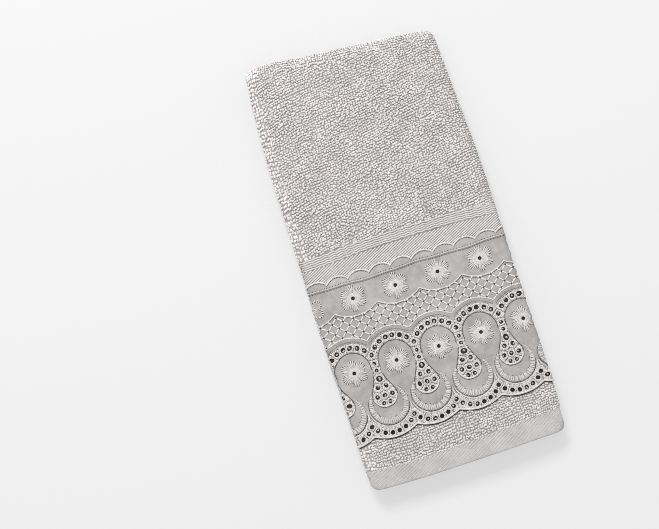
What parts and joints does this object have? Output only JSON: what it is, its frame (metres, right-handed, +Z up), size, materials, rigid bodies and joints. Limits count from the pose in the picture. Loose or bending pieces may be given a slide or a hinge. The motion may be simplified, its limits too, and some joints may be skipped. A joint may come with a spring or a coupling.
{
  "type": "hand towel",
  "caption": "Folded terry hand towel with a woven band, a smooth hem and a wide scalloped broderie anglaise trim sewn across its lower end.",
  "frame": {"origin": "on the surface it lies on, under the middle of the folded towel's box", "axes": "+Y along the folded towel to its top fold, +X to the right across its face, +Z up out of its face"},
  "size_m": [0.1712, 0.3596, 0.0219],
  "materials": {
    "terry": "looped cotton pile, light warm grey",
    "eyelet_cloth": "plain cotton cambric with raised embroidery, warm grey"
  },
  "bodies": {
    "root": {"terry_cloth": "terry", "eyelet_trim": "eyelet_cloth"}
  },
  "joints": []
}
